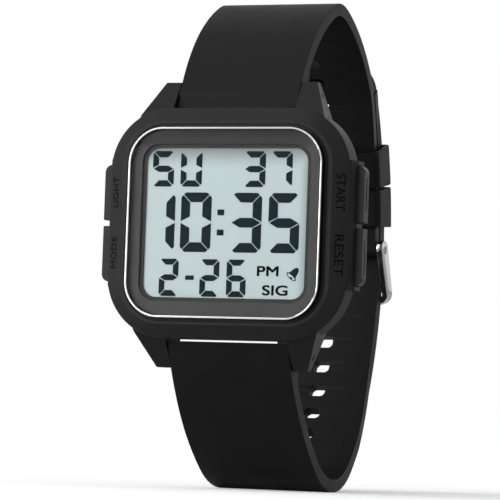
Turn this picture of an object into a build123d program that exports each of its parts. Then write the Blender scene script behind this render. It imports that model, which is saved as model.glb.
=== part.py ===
from build123d import *
import math
import os

# Digital watch with a rubber strap, buckled into a loop as if round a wrist.
# +X runs to the 3 o'clock side, +Z to 12 o'clock, and the face looks along -Y.
# The origin is the middle of the case back's outer face. Lengths are in millimetres.
# Depths are counted backwards from the front of the bright ring round the glass.

# Case
case_width = 43.7
case_height = 39.5
case_corner_radius = 10.8
case_thickness = 11.6
rim_depth = 1.0
gasket_seat_depth = 1.6
bevel_foot_depth = 2.3
bezel_back_depth = 2.6
front_cavity_depth = 4.3
flank_back_depth = 6.4
body_back_depth = 10.4
side_rim_width = 1.0
end_rim_width = 0.65
rim_corner_step = 0.9
back_inset = 2.3
side_ledge_width = 1.4
end_ledge_width = 1.8
bezel_opening_radius = 1.6
front_cavity_gap = 0.2
rear_ledge_width = 1.2
rear_cavity_radius = 8.0

# Guard blocks on both flanks, which carry the buttons
guard_length = 21.8
guard_reach = 0.75
guard_shoulder_depth = 4.35
guard_wall_back_depth = 7.2
guard_foot_depth = 9.4
guard_edge_round = 0.25

# Lugs
lug_reach = 4.85
lug_root_overlap = 4.0
lug_tip_width = 3.4
lug_root_width = 6.6
lug_draft_angle = 9.0
lug_tip_front_depth = 6.7
lug_tip_back_depth = 9.4
lug_top_round = 1.2
strap_slot_gap = 0.15

# Bright ring, glass and the dark plate behind it
side_border_width = 4.05
end_border_width = 3.35
ring_corner_radius = 6.35
ring_wall = 0.5
ring_back_depth = 1.2
ring_edge_round = 0.12
gasket_wall = 0.35
gasket_lip_depth = 1.05
crystal_front_depth = 0.12
mask_front_depth = 0.9
side_mask_width = 1.0
end_mask_width = 1.2
mask_opening_radius = 3.0
glass_fit = 0.03

# Display
side_window_gap = 0.7
end_window_gap = 0.65
window_radius = 2.3
lcd_frame_front_depth = 1.25
lcd_lip_thickness = 0.25
lcd_frame_wall = 0.6
lcd_fit = 0.1
polariser_thickness = 0.2
lcd_glass_thickness = 1.2
reflector_thickness = 0.2
backlight_thickness = 0.35
segment_film = 0.05

# Characters on the display as shares of the window: centre across and up, width, height,
# and the width of a bar as a share of the character's own width
character_shares = (
    ("S", -0.399, 0.361, 0.133, 0.239, 0.276),
    ("U", -0.223, 0.361, 0.133, 0.239, 0.276),
    ("3", 0.171, 0.361, 0.133, 0.239, 0.276),
    ("7", 0.336, 0.361, 0.133, 0.239, 0.276),
    ("1", -0.411, 0.004, 0.190, 0.398, 0.295),
    ("0", -0.184, 0.004, 0.190, 0.398, 0.295),
    ("3", 0.128, 0.004, 0.190, 0.398, 0.295),
    ("S", 0.361, 0.004, 0.190, 0.398, 0.295),
    ("2", -0.342, -0.367, 0.120, 0.250, 0.290),
    ("2", -0.087, -0.367, 0.120, 0.250, 0.290),
    ("6", 0.079, -0.367, 0.120, 0.250, 0.290),
)
# Two dots of the colon and the dash of the date: centre across and up, width, height
mark_shares = (
    (-0.030, 0.071, 0.042, 0.039),
    (-0.030, -0.063, 0.042, 0.039),
    (-0.211, -0.367, 0.054, 0.029),
)
segment_gap = 0.15
corner_cut_share = 0.5

# Module behind the display
module_fit = 0.2
module_deck_gap = 0.05
module_deck_thickness = 0.65
module_wall = 1.3
module_back_depth = 9.95
module_post_radius = 1.0
board_depth = 5.3
board_thickness = 0.8
board_fit = 0.25
chip_size = 5.2
chip_height = 1.0
chip_edge_gap = 0.85
resonator_radius = 1.0
resonator_length = 5.0
resonator_gap = 1.3
battery_thickness = 1.6
battery_clearance = 0.1
battery_chip_gap = 1.8
battery_edge_gap = 2.65
clip_width = 4.0
clip_thickness = 0.3
zebra_height = 1.0
zebra_end_gap = 4.85
zebra_edge_gap = 0.95
piezo_radius = 8.0
piezo_thickness = 0.35
piezo_edge_gap = 3.4
buzzer_spring_across = 5.5
buzzer_spring_down = 5.0
buzzer_spring_radius = 0.7
buzzer_spring_wire = 0.12
buzzer_spring_turns = 3
near_screw_edge_gap = 2.65
near_screw_end_gap = 3.85
far_screw_edge_gap = 8.15
far_screw_end_gap = 3.55
module_screw_radius = 0.5
module_screw_gap = 0.04
module_screw_head_radius = 0.95
module_screw_head_height = 0.5
module_screw_length = 2.2
module_slot_width = 0.25

# Case back, its seal and screws
plate_side_gap = 1.15
plate_end_gap = 1.05
plate_radius = 6.0
plate_edge_chamfer = 0.4
seal_groove_width = 1.0
seal_groove_depth = 0.7
seal_inner_wall = 0.7
seal_fit = 0.05
case_screw_wall = 0.54
case_screw_radius = 0.6
case_screw_hole_radius = 0.64
case_screw_head_radius = 1.2
case_screw_head_height = 0.7
case_screw_head_gap = 0.1
case_screw_length = 5.2
case_screw_slot_width = 0.35
case_screw_slot_depth = 0.3

# Buttons
button_near_end = 0.5
button_far_end = 10.1
button_front_depth = 4.3
button_back_depth = 6.5
button_reach = 1.95
button_thickness = 1.65
button_travel = 0.8
button_corner_radius = 1.3
button_near_round = 0.2
button_groove_length = 5.9
button_groove_width = 0.35
button_groove_depth = 0.3
pocket_gap = 0.12
pocket_floor_gap = 0.2
stem_radius = 0.7
stem_bore_gap = 0.05
stem_end_gap = 0.05
stem_groove_gap = 0.02
clip_pocket_depth = 2.0
clip_pocket_width = 3.4
clip_pocket_back_depth = 6.9
e_clip_radius = 1.0
e_clip_thickness = 0.4
e_clip_gap = 0.1
clip_groove_radius = 0.5
spring_well_radius = 1.25
spring_well_depth = 1.6
button_spring_radius = 1.0
button_spring_wire = 0.12
button_spring_turns = 3
ring_groove_radius = 0.44
ring_groove_width = 0.5
o_ring_section_radius = 0.13
leaf_thickness = 0.15
leaf_width = 2.6
leaf_height = 1.8

# Strap, seen from the side: tangent arcs of its outer face about the loop's rear centre
rear_centre_depth = -7.65
rear_centre_height = -1.1
long_rear_radius = 64.8
strap_thickness = 2.2
layer_gap = 0.6
long_tip_angle = 33.0
long_rear_sweep_angle = 57.0
long_corner_radius = 38.3
long_corner_sweep_angle = 27.2
long_bottom_radius = 16.1
long_bottom_sweep_angle = 74.2
long_front_radius = 46.7
long_front_sweep_angle = 34.9
short_rear_sweep_angle = 23.6
short_shoulder_radius = 20.0
short_shoulder_sweep_angle = 14.9
short_corner_radius = 35.9
short_corner_sweep_angle = 34.7
short_crown_radius = 9.6
short_crown_sweep_angle = 40.8
short_front_radius = 31.1
short_front_sweep_angle = 49.9
strap_end_gap = 0.35

# Strap, seen from above: full width at the lugs, narrower towards the buckle
strap_width_lugs = 22.0
strap_width_rear = 18.6
taper_start_depth = 14.0
taper_end_depth = 51.5
# Points of the taper as shares of its length and of the width that it takes away
taper_shares = ((0.43, 0.18), (0.83, 0.56))
tip_round = 7.0

# Strap holes
hole_width = 3.1
hole_length = 2.2
hole_corner_radius = 0.9
hole_pitch = 5.0
long_hole_first = 10.2
long_hole_count = 15
short_hole_first = 28.0
short_hole_count = 4

# Spring bars
bar_height = 22.3
bar_depth = 7.5
bar_radius = 0.9
bar_bore_gap = 0.1
bar_tube_end_gap = 0.3
bar_tube_end_wall = 0.3
bar_end_gap = 0.02
bar_pin_radius = 0.45
bar_pin_gap = 0.05
bar_pin_reach = 1.4
bar_shoulder_radius = 0.6
bar_shoulder_length = 2.6
bar_spring_radius = 0.36
bar_spring_wire = 0.1
bar_spring_turns = 10
strap_boss_radius = 2.0
boss_blend_length = 9.5

# Buckle, in the side view: distances along the strap below its bar and out from the bar
pivot_boss_radius = 1.35
buckle_bar_radius = 0.7
buckle_bar_gap = 0.05
buckle_bar_fit = 0.02
buckle_bar_inset = 0.3
frame_arm_width = 1.3
frame_arm_gap = 0.35
frame_pivot_round = 1.5
frame_top_along = 0.3
frame_top_out = 0.3
frame_front_round = 1.1
frame_front_along = 8.9
frame_front_out = 4.35
frame_bar_round = 0.9
frame_edge_round = 0.4
frame_corner_radius = 3.0
tang_width = 1.9
tang_thickness = 0.9
tang_slot_gap = 0.3
tang_slot_length = 4.4
tang_sleeve_radius = 1.3
tang_root_along = 0.8
tang_root_out = 0.3
tang_turn_along = 3.1
tang_turn_out = 1.0
tang_bend_along = 3.35
tang_bend_out = 4.45
tang_tip_along = 9.9
tang_tip_out = 6.05

# Keepers
keeper_side_wall = 0.7
keeper_face_wall = 0.95
keeper_side_gap = 0.5
keeper_face_gap = 0.25
keeper_edge_round = 0.25
keeper_corner_radius = 1.0
keeper_sweep_angle = 6.5
fixed_keeper_angle = 4.0
free_keeper_gap_angle = 0.4
cut_overrun = 1.0

os.makedirs("parts", exist_ok=True)


def level(depth):
    """The plane parallel to the face at a depth, looking out of the face."""
    return Plane.XZ.offset(case_thickness - depth)


def save(builder, name):
    """Label a finished piece and write it."""
    builder.part.label = name
    export_step(builder.part, "parts/" + name + ".step")


# Sizes that follow from the driving ones
ring_width = case_width - 2 * side_border_width
ring_height = case_height - 2 * end_border_width
bezel_opening_width = ring_width - 2 * side_ledge_width
bezel_opening_height = ring_height - 2 * end_ledge_width
front_cavity_width = bezel_opening_width + 2 * front_cavity_gap
front_cavity_height = bezel_opening_height + 2 * front_cavity_gap
front_cavity_radius = bezel_opening_radius + front_cavity_gap
rear_cavity_width = front_cavity_width - 2 * rear_ledge_width
rear_cavity_height = front_cavity_height - 2 * rear_ledge_width
mask_opening_width = bezel_opening_width - 2 * side_mask_width
mask_opening_height = bezel_opening_height - 2 * end_mask_width
window_width = mask_opening_width - 2 * side_window_gap
window_height = mask_opening_height - 2 * end_window_gap
wall_outer_width = rear_cavity_width - 2 * module_fit
wall_outer_height = rear_cavity_height - 2 * module_fit
wall_outer_radius = rear_cavity_radius - module_fit
wall_inner_width = wall_outer_width - 2 * module_wall
wall_inner_height = wall_outer_height - 2 * module_wall
wall_inner_radius = wall_outer_radius - module_wall
board_half_width = wall_inner_width / 2 - board_fit
board_half_height = wall_inner_height / 2 - board_fit
zebra_offset_z = board_half_height - zebra_edge_gap
zebra_length = 2 * (board_half_width - zebra_end_gap)
rim_outer_width = ring_width + 2 * gasket_wall + 2 * side_rim_width
rim_outer_height = ring_height + 2 * gasket_wall + 2 * end_rim_width
rim_outer_radius = ring_corner_radius + gasket_wall + rim_corner_step
pocket_width = ring_width + 2 * gasket_wall
pocket_height = ring_height + 2 * gasket_wall
pocket_radius = ring_corner_radius + gasket_wall

# Bezel: a moulded frame with a flat rim and a wide bevel
with BuildPart() as bezel:
    with BuildSketch(level(rim_depth)):
        RectangleRounded(rim_outer_width, rim_outer_height, rim_outer_radius)
    with BuildSketch(level(bevel_foot_depth)):
        RectangleRounded(case_width, case_height, case_corner_radius)
    loft(ruled=True)
    with BuildSketch(level(bezel_back_depth)):
        RectangleRounded(case_width, case_height, case_corner_radius)
    extrude(amount=bezel_back_depth - bevel_foot_depth)
    with BuildSketch(level(gasket_seat_depth)):
        RectangleRounded(pocket_width, pocket_height, pocket_radius)
    extrude(amount=gasket_seat_depth, mode=Mode.SUBTRACT)
    with BuildSketch(level(bezel_back_depth)):
        RectangleRounded(bezel_opening_width, bezel_opening_height, bezel_opening_radius)
    extrude(amount=bezel_back_depth, mode=Mode.SUBTRACT)
save(bezel, "bezel")

# Glass gasket: an L section whose upright shows as the black line round the ring
with BuildPart() as crystal_gasket:
    with BuildSketch(level(gasket_seat_depth)):
        RectangleRounded(pocket_width, pocket_height, pocket_radius)
        RectangleRounded(bezel_opening_width, bezel_opening_height, bezel_opening_radius,
                         mode=Mode.SUBTRACT)
    extrude(amount=gasket_seat_depth - gasket_lip_depth)
    with BuildSketch(level(ring_back_depth)):
        RectangleRounded(ring_width, ring_height, ring_corner_radius)
    extrude(amount=ring_back_depth, mode=Mode.SUBTRACT)
save(crystal_gasket, "crystal_gasket")

# Bright ring round the glass
ring_inner_width = ring_width - 2 * ring_wall
ring_inner_height = ring_height - 2 * ring_wall
ring_inner_radius = ring_corner_radius - ring_wall
with BuildPart() as chrome_ring:
    with BuildSketch(level(ring_back_depth)):
        RectangleRounded(ring_width, ring_height, ring_corner_radius)
        RectangleRounded(ring_inner_width, ring_inner_height, ring_inner_radius, mode=Mode.SUBTRACT)
    extrude(amount=ring_back_depth)
    fillet(chrome_ring.faces().sort_by(Axis.Y)[0].edges(), radius=ring_edge_round)
save(chrome_ring, "chrome_ring")

# Glass, held inside the ring
glass_width = ring_inner_width - 2 * glass_fit
glass_height = ring_inner_height - 2 * glass_fit
glass_radius = ring_inner_radius - glass_fit
with BuildPart() as crystal:
    with BuildSketch(level(mask_front_depth)):
        RectangleRounded(glass_width, glass_height, glass_radius)
    extrude(amount=mask_front_depth - crystal_front_depth)
save(crystal, "crystal")

# Dark grey plate behind the glass, which frames the display
with BuildPart() as dial_mask:
    with BuildSketch(level(ring_back_depth)):
        RectangleRounded(glass_width, glass_height, glass_radius)
        RectangleRounded(mask_opening_width, mask_opening_height, mask_opening_radius,
                         mode=Mode.SUBTRACT)
    extrude(amount=ring_back_depth - mask_front_depth)
save(dial_mask, "dial_mask")

# Guards, cut to the shape of their section and run along both flanks
half_width = case_width / 2
guard_half_width = half_width + guard_reach


def depth_to_y(depth):
    """A depth as a place along the Y axis."""
    return depth - case_thickness


with BuildPart() as guards:
    with BuildSketch(Plane.XY):
        with BuildLine():
            Polyline(
                (rear_cavity_width / 2, depth_to_y(bezel_back_depth)),
                (half_width, depth_to_y(bezel_back_depth)),
                (guard_half_width, depth_to_y(guard_shoulder_depth)),
                (guard_half_width, depth_to_y(guard_wall_back_depth)),
                (half_width - back_inset, depth_to_y(guard_foot_depth)),
                (rear_cavity_width / 2, depth_to_y(guard_foot_depth)),
                close=True,
            )
        make_face()
    extrude(amount=guard_length / 2, both=True)
    fillet(guards.edges().filter_by(Axis.Z).group_by(Axis.X)[-1], radius=guard_edge_round)
    mirror(about=Plane.YZ)

# Lugs: one drafted block cut by its side view, and mirrored to the four corners
half_height = case_height / 2
lug_tip_height = half_height + lug_reach
lug_root_height = half_height - lug_root_overlap
slot_half_width = strap_width_lugs / 2 + strap_slot_gap
lug_slope = (lug_root_width - lug_tip_width) / (lug_tip_height - lug_root_height)
lug_overrun = 2 * strap_end_gap + lug_tip_width
with BuildPart() as lug_block:
    with BuildSketch(level(bezel_back_depth)):
        with BuildLine():
            Polyline(
                (slot_half_width - lug_overrun, lug_root_height - lug_overrun),
                (slot_half_width - lug_overrun, lug_tip_height + lug_overrun),
                (slot_half_width + lug_tip_width - lug_overrun * lug_slope,
                 lug_tip_height + lug_overrun),
                (slot_half_width + lug_root_width + lug_overrun * lug_slope,
                 lug_root_height - lug_overrun),
                close=True,
            )
        make_face()
    extrude(amount=-(body_back_depth - bezel_back_depth), taper=lug_draft_angle)
with BuildPart() as lug_side:
    with BuildSketch(Plane.YZ):
        with BuildLine():
            Polyline(
                (depth_to_y(bezel_back_depth), lug_root_height),
                (depth_to_y(bezel_back_depth), half_height - lug_top_round),
                (depth_to_y(lug_tip_front_depth), lug_tip_height),
                (depth_to_y(lug_tip_back_depth), lug_tip_height),
                (depth_to_y(body_back_depth), half_height),
                (depth_to_y(body_back_depth), lug_root_height),
                close=True,
            )
        make_face()
    extrude(amount=case_width)
with BuildPart() as lugs:
    add(lug_block.part)
    add(lug_side.part, mode=Mode.INTERSECT)
    with Locations((0, depth_to_y(bezel_back_depth), half_height)):
        Box(2 * slot_half_width, 2 * body_back_depth, 2 * half_height, mode=Mode.SUBTRACT)
    mirror(about=Plane.YZ)
    mirror(about=Plane.XY)

# Places of the four buttons: name, side and half of the case
BUTTONS = (("light", -1, 1), ("mode", -1, -1), ("start", 1, 1), ("reset", 1, -1))
button_length = button_far_end - button_near_end
button_height = (button_far_end + button_near_end) / 2
button_axis_depth = (button_front_depth + button_back_depth) / 2
button_outer_x = half_width + button_reach
button_inner_x = button_outer_x - button_thickness
pocket_floor_x = button_inner_x - button_travel - pocket_floor_gap
well_floor_x = pocket_floor_x - spring_well_depth
clip_wall_x = rear_cavity_width / 2 + clip_pocket_depth
stem_bore_radius = stem_radius + stem_bore_gap
rear_half_width = rear_cavity_width / 2

# Case body: flanks, tapering back, guards and lugs in one moulding
back_width = case_width - 2 * back_inset
back_height = case_height - 2 * back_inset
back_radius = case_corner_radius - back_inset
plate_width = back_width - 2 * plate_side_gap
plate_height = back_height - 2 * plate_end_gap
seal_width = rear_cavity_width + seal_groove_width + 2 * seal_inner_wall
seal_height = rear_cavity_height + seal_groove_width + 2 * seal_inner_wall
seal_radius = rear_cavity_radius + seal_groove_width / 2
screw_reach = seal_radius + seal_groove_width / 2 + case_screw_wall + case_screw_hole_radius
case_screw_pitch_x = seal_width + 2 * (screw_reach / math.sqrt(2) - seal_radius)
case_screw_pitch_z = seal_height + 2 * (screw_reach / math.sqrt(2) - seal_radius)
with BuildPart() as case_body:
    with BuildSketch(level(flank_back_depth)):
        RectangleRounded(case_width, case_height, case_corner_radius)
    extrude(amount=flank_back_depth - bezel_back_depth)
    with BuildSketch(level(flank_back_depth)):
        RectangleRounded(case_width, case_height, case_corner_radius)
    with BuildSketch(level(body_back_depth)):
        RectangleRounded(back_width, back_height, back_radius)
    loft(ruled=True)
    add(guards.part)
    add(lugs.part)
    with BuildSketch(level(front_cavity_depth)):
        RectangleRounded(front_cavity_width, front_cavity_height, front_cavity_radius)
    extrude(amount=front_cavity_depth, mode=Mode.SUBTRACT)
    with BuildSketch(level(body_back_depth)):
        RectangleRounded(rear_cavity_width, rear_cavity_height, rear_cavity_radius)
    extrude(amount=body_back_depth, mode=Mode.SUBTRACT)
    with BuildSketch(level(body_back_depth)):
        RectangleRounded(seal_width + seal_groove_width, seal_height + seal_groove_width,
                         seal_radius + seal_groove_width / 2)
        RectangleRounded(seal_width - seal_groove_width, seal_height - seal_groove_width,
                         seal_radius - seal_groove_width / 2, mode=Mode.SUBTRACT)
    extrude(amount=seal_groove_depth, mode=Mode.SUBTRACT)
    with BuildSketch(level(body_back_depth)):
        with GridLocations(case_screw_pitch_x, case_screw_pitch_z, 2, 2):
            Circle(case_screw_hole_radius)
    extrude(amount=case_screw_length - case_screw_head_height, mode=Mode.SUBTRACT)
    for side in (-1, 1):
        for half in (-1, 1):
            with Locations(((pocket_floor_x + guard_half_width) / 2 * side,
                            depth_to_y(button_axis_depth), button_height * half)):
                Box(guard_half_width - pocket_floor_x,
                    button_back_depth - button_front_depth + 2 * pocket_gap,
                    button_length + 2 * pocket_gap, mode=Mode.SUBTRACT)
            with Locations(((rear_half_width + clip_wall_x) / 2 * side,
                            depth_to_y((front_cavity_depth + clip_pocket_back_depth) / 2),
                            button_height * half)):
                Box(clip_pocket_depth, clip_pocket_back_depth - front_cavity_depth,
                    clip_pocket_width, mode=Mode.SUBTRACT)
            with Locations(Location((rear_half_width * side, depth_to_y(button_axis_depth),
                                     button_height * half), (0, 90 * side, 0))):
                Cylinder(stem_bore_radius, pocket_floor_x - rear_half_width,
                         align=(Align.CENTER, Align.CENTER, Align.MIN), mode=Mode.SUBTRACT)
            with Locations(Location((well_floor_x * side, depth_to_y(button_axis_depth),
                                     button_height * half), (0, 90 * side, 0))):
                Cylinder(spring_well_radius, spring_well_depth,
                         align=(Align.CENTER, Align.CENTER, Align.MIN), mode=Mode.SUBTRACT)
    for half in (-1, 1):
        with Locations(Location((0, depth_to_y(bar_depth), bar_height * half), (0, 90, 0))):
            Cylinder(bar_pin_radius + bar_pin_gap, case_width, mode=Mode.SUBTRACT)
save(case_body, "case_body")

# Display frame: a black lip round the window, with a pocket behind it for the display
frame_outer_width = bezel_opening_width - 2 * lcd_fit
frame_outer_height = bezel_opening_height - 2 * lcd_fit
frame_outer_radius = bezel_opening_radius - lcd_fit
stack_width = frame_outer_width - 2 * lcd_frame_wall - 2 * lcd_fit
stack_height = frame_outer_height - 2 * lcd_frame_wall - 2 * lcd_fit
lip_back_depth = lcd_frame_front_depth + lcd_lip_thickness
deck_front_depth = front_cavity_depth - module_deck_gap - module_deck_thickness
with BuildPart() as lcd_frame:
    with BuildSketch(level(deck_front_depth)):
        RectangleRounded(frame_outer_width, frame_outer_height, frame_outer_radius)
    extrude(amount=deck_front_depth - lcd_frame_front_depth)
    with BuildSketch(level(deck_front_depth)):
        Rectangle(stack_width + 2 * lcd_fit, stack_height + 2 * lcd_fit)
    extrude(amount=deck_front_depth - lip_back_depth, mode=Mode.SUBTRACT)
    with BuildSketch(level(deck_front_depth)):
        RectangleRounded(window_width, window_height, window_radius)
    extrude(amount=deck_front_depth, mode=Mode.SUBTRACT)
save(lcd_frame, "lcd_frame")

# Front polarising film of the display
glass_front_depth = lip_back_depth + polariser_thickness
with BuildPart() as lcd_polariser:
    with BuildSketch(level(glass_front_depth)):
        Rectangle(stack_width, stack_height)
    extrude(amount=polariser_thickness)
save(lcd_polariser, "lcd_polariser")

# Display glass
glass_back_depth = glass_front_depth + lcd_glass_thickness
with BuildPart() as lcd_glass:
    with BuildSketch(level(glass_back_depth)):
        Rectangle(stack_width, stack_height)
    extrude(amount=lcd_glass_thickness)
save(lcd_glass, "lcd_glass")

# Reflector film, which leaves room for the contact strips above and below it
zebra_inner_height = zebra_offset_z - zebra_height / 2 - lcd_fit
reflector_back_depth = glass_back_depth + reflector_thickness
with BuildPart() as lcd_reflector:
    with BuildSketch(level(reflector_back_depth)):
        Rectangle(stack_width, 2 * zebra_inner_height)
    extrude(amount=reflector_thickness)
save(lcd_reflector, "lcd_reflector")

# Light panel behind the display
backlight_back_depth = reflector_back_depth + backlight_thickness
with BuildPart() as backlight_panel:
    with BuildSketch(level(backlight_back_depth)):
        Rectangle(stack_width, 2 * zebra_inner_height)
    extrude(amount=backlight_thickness)
save(backlight_panel, "backlight_panel")

# Which of the seven bars make up each character
BARS = {"S": "afgcd", "U": "bcdef", "0": "abcdef", "1": "bc", "2": "abged", "3": "abgcd",
        "6": "afgecd", "7": "abc"}


def bar_points(bar, width, height, stroke):
    """Corner points of one bar of a seven-bar character about the character's middle."""
    right = width / 2
    top = height / 2
    cut = stroke * corner_cut_share
    slip = segment_gap * math.sqrt(2) / 2
    if bar in "ad":
        points = [(cut - right, top), (right - cut, top),
                  (right - (cut + slip) / 2, top - (cut - slip) / 2),
                  (right - stroke - slip, top - stroke), (stroke + slip - right, top - stroke),
                  ((cut + slip) / 2 - right, top - (cut - slip) / 2)]
    elif bar == "g":
        points = [(segment_gap - right, 0), (stroke - right, stroke / 2),
                  (right - stroke, stroke / 2), (right - segment_gap, 0),
                  (right - stroke, -stroke / 2), (stroke - right, -stroke / 2)]
    else:
        points = [(right, segment_gap), (right, top - cut),
                  (right - (cut - slip) / 2, top - (cut + slip) / 2),
                  (right - stroke, top - stroke - slip), (right - stroke, stroke / 2 + segment_gap)]
    across = -1 if bar in "ef" else 1
    upright = -1 if bar in "cde" else 1
    return [(across * x, upright * z) for x, z in points]


# Digits, day letters, colon and dash of the display, as one group of thin printed bars
with BuildPart() as lcd_segments:
    with BuildSketch(level(lip_back_depth)):
        for character, across, up, width_share, height_share, bar_share in character_shares:
            width = width_share * window_width
            height = height_share * window_height
            for bar in BARS[character]:
                outline = [(across * window_width + x, up * window_height + z)
                           for x, z in bar_points(bar, width, height, bar_share * width)]
                with BuildLine():
                    Polyline(*outline, close=True)
                make_face()
        for across, up, width_share, height_share in mark_shares:
            with Locations((across * window_width, up * window_height)):
                Rectangle(width_share * window_width, height_share * window_height)
    extrude(amount=segment_film)
save(lcd_segments, "lcd_segments")

# Module frame: a deck on the case's ledge, a wall round the board, slots and two posts
deck_back_depth = deck_front_depth + module_deck_thickness
module_screw_places = (
    (board_half_width - near_screw_edge_gap, near_screw_end_gap - board_half_height),
    (far_screw_edge_gap - board_half_width, board_half_height - far_screw_end_gap),
)
leaf_face_x = wall_outer_width / 2
with BuildPart() as module_frame:
    with BuildSketch(level(deck_back_depth)):
        RectangleRounded(front_cavity_width - 2 * module_fit, front_cavity_height - 2 * module_fit,
                         front_cavity_radius - module_fit)
    extrude(amount=module_deck_thickness)
    with BuildSketch(level(module_back_depth)):
        RectangleRounded(wall_outer_width, wall_outer_height, wall_outer_radius)
        RectangleRounded(wall_inner_width, wall_inner_height, wall_inner_radius, mode=Mode.SUBTRACT)
    extrude(amount=module_back_depth - deck_back_depth)
    with BuildSketch(level(board_depth)):
        with Locations(*module_screw_places):
            Circle(module_post_radius)
    extrude(amount=board_depth - deck_back_depth)
    with BuildSketch(level(board_depth)):
        with Locations(*module_screw_places):
            Circle(module_screw_radius + module_screw_gap)
    extrude(amount=board_depth - deck_front_depth - module_screw_gap, mode=Mode.SUBTRACT)
    with BuildSketch(level(deck_back_depth)):
        with GridLocations(0, 2 * zebra_offset_z, 1, 2):
            Rectangle(zebra_length + 2 * lcd_fit, zebra_height + 2 * lcd_fit)
    extrude(amount=deck_back_depth, mode=Mode.SUBTRACT)
    for side in (-1, 1):
        with Locations((leaf_face_x * side, depth_to_y(button_axis_depth), button_height),
                       (leaf_face_x * side, depth_to_y(button_axis_depth), -button_height)):
            Box(2 * leaf_thickness, leaf_height + 2 * lcd_fit, leaf_width + 2 * lcd_fit,
                mode=Mode.SUBTRACT)
save(module_frame, "module_frame")

# Contact strips between the display glass and the board
with BuildPart() as zebra_strips:
    with BuildSketch(level(board_depth)):
        with GridLocations(0, 2 * zebra_offset_z, 1, 2):
            Rectangle(zebra_length, zebra_height)
    extrude(amount=board_depth - glass_back_depth)
save(zebra_strips, "zebra_strips")

# Circuit board
board_back_depth = board_depth + board_thickness
with BuildPart() as circuit_board:
    with BuildSketch(level(board_back_depth)):
        RectangleRounded(2 * board_half_width, 2 * board_half_height,
                         wall_inner_radius - board_fit)
        with Locations(*module_screw_places):
            Circle(module_screw_radius + module_screw_gap, mode=Mode.SUBTRACT)
    extrude(amount=board_thickness)
save(circuit_board, "circuit_board")

# Chip under its potting blob
chip_offset_x = board_half_width - chip_edge_gap - chip_size / 2
with BuildPart() as main_chip:
    with BuildSketch(level(board_back_depth + chip_height)):
        with Locations((-chip_offset_x, 0)):
            RectangleRounded(chip_size, chip_size, chip_size / 4)
    extrude(amount=chip_height)
    chamfer(main_chip.faces().sort_by(Axis.Y)[-1].edges(), length=chip_height / 2)
save(main_chip, "main_chip")

# Timing crystal in its can
resonator_offset_z = chip_size / 2 + resonator_gap + resonator_radius
with BuildPart() as quartz_crystal:
    with Locations(Location((-chip_offset_x, depth_to_y(board_back_depth + resonator_radius),
                             resonator_offset_z), (0, 90, 0))):
        Cylinder(resonator_radius, resonator_length)
    fillet(quartz_crystal.edges(), radius=resonator_radius / 4)
save(quartz_crystal, "quartz_crystal")

# Coin cell beside the chip, and the spring strap that holds it
clip_half_span = (2 * board_half_width - battery_edge_gap - chip_edge_gap - chip_size
                  - battery_chip_gap) / 2
battery_radius = clip_half_span - clip_thickness - battery_clearance
battery_offset_x = board_half_width - battery_edge_gap - clip_half_span
battery_front_depth = board_back_depth + battery_clearance
battery_back_depth = battery_front_depth + battery_thickness
with BuildPart() as battery:
    with BuildSketch(level(battery_back_depth)):
        with Locations((battery_offset_x, 0)):
            Circle(battery_radius)
    extrude(amount=battery_thickness)
    fillet(battery.faces().sort_by(Axis.Y)[-1].edges(), radius=battery_thickness / 5)
save(battery, "battery")

clip_front_depth = battery_back_depth + battery_clearance / 2
with BuildPart() as battery_clip:
    with BuildSketch(level(clip_front_depth + clip_thickness)):
        with Locations((battery_offset_x, 0)):
            Rectangle(2 * clip_half_span, clip_width)
    extrude(amount=clip_thickness)
    with BuildSketch(level(clip_front_depth)):
        with Locations((battery_offset_x - clip_half_span + clip_thickness / 2, 0),
                       (battery_offset_x + clip_half_span - clip_thickness / 2, 0)):
            Rectangle(clip_thickness, clip_width)
    extrude(amount=clip_front_depth - board_back_depth)
save(battery_clip, "battery_clip")

# Two screws that hold the board to the module frame
with BuildPart() as module_screws:
    with BuildSketch(level(board_back_depth + module_screw_head_height)):
        with Locations(*module_screw_places):
            Circle(module_screw_head_radius)
    extrude(amount=module_screw_head_height)
    with BuildSketch(level(board_back_depth)):
        with Locations(*module_screw_places):
            Circle(module_screw_radius)
    extrude(amount=module_screw_length)
    with BuildSketch(level(board_back_depth + module_screw_head_height)):
        with Locations(*module_screw_places):
            Rectangle(2 * module_screw_head_radius, module_slot_width)
    extrude(amount=module_slot_width, mode=Mode.SUBTRACT)
save(module_screws, "module_screws")

# Leaf contacts in the module's side wall, one behind each button
with BuildPart() as switch_contacts:
    for side in (-1, 1):
        with Locations(((leaf_face_x - leaf_thickness / 2) * side, depth_to_y(button_axis_depth),
                        button_height),
                       ((leaf_face_x - leaf_thickness / 2) * side, depth_to_y(button_axis_depth),
                        -button_height)):
            Box(leaf_thickness, leaf_height, leaf_width)
save(switch_contacts, "switch_contacts")


def coil(origin, direction, radius, wire, length, turns):
    """Sweep a round wire along tangent half turns. Used inside a part block."""
    lead = length / turns
    place = Plane(origin=origin, z_dir=direction)
    with BuildLine(place) as path:
        for step in range(2 * turns):
            start = radius if step % 2 == 0 else -radius
            swing = radius if step % 2 == 0 else -radius
            base = step * lead / 2
            ThreePointArc((start, 0, base), (0, swing, base + lead / 4), (-start, 0, base + lead / 2))
    with BuildSketch(Plane(origin=path.line @ 0, z_dir=path.line % 0)) as section:
        Circle(wire)
    sweep(sections=section.sketch, path=path.line)


# Alarm disc on the inside of the case back, and the coil that feeds it
piezo_offset_x = piezo_radius + piezo_edge_gap - rear_half_width
with BuildPart() as piezo_buzzer:
    with BuildSketch(level(body_back_depth)):
        with Locations((piezo_offset_x, 0)):
            Circle(piezo_radius)
    extrude(amount=piezo_thickness)
save(piezo_buzzer, "piezo_buzzer")

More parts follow.
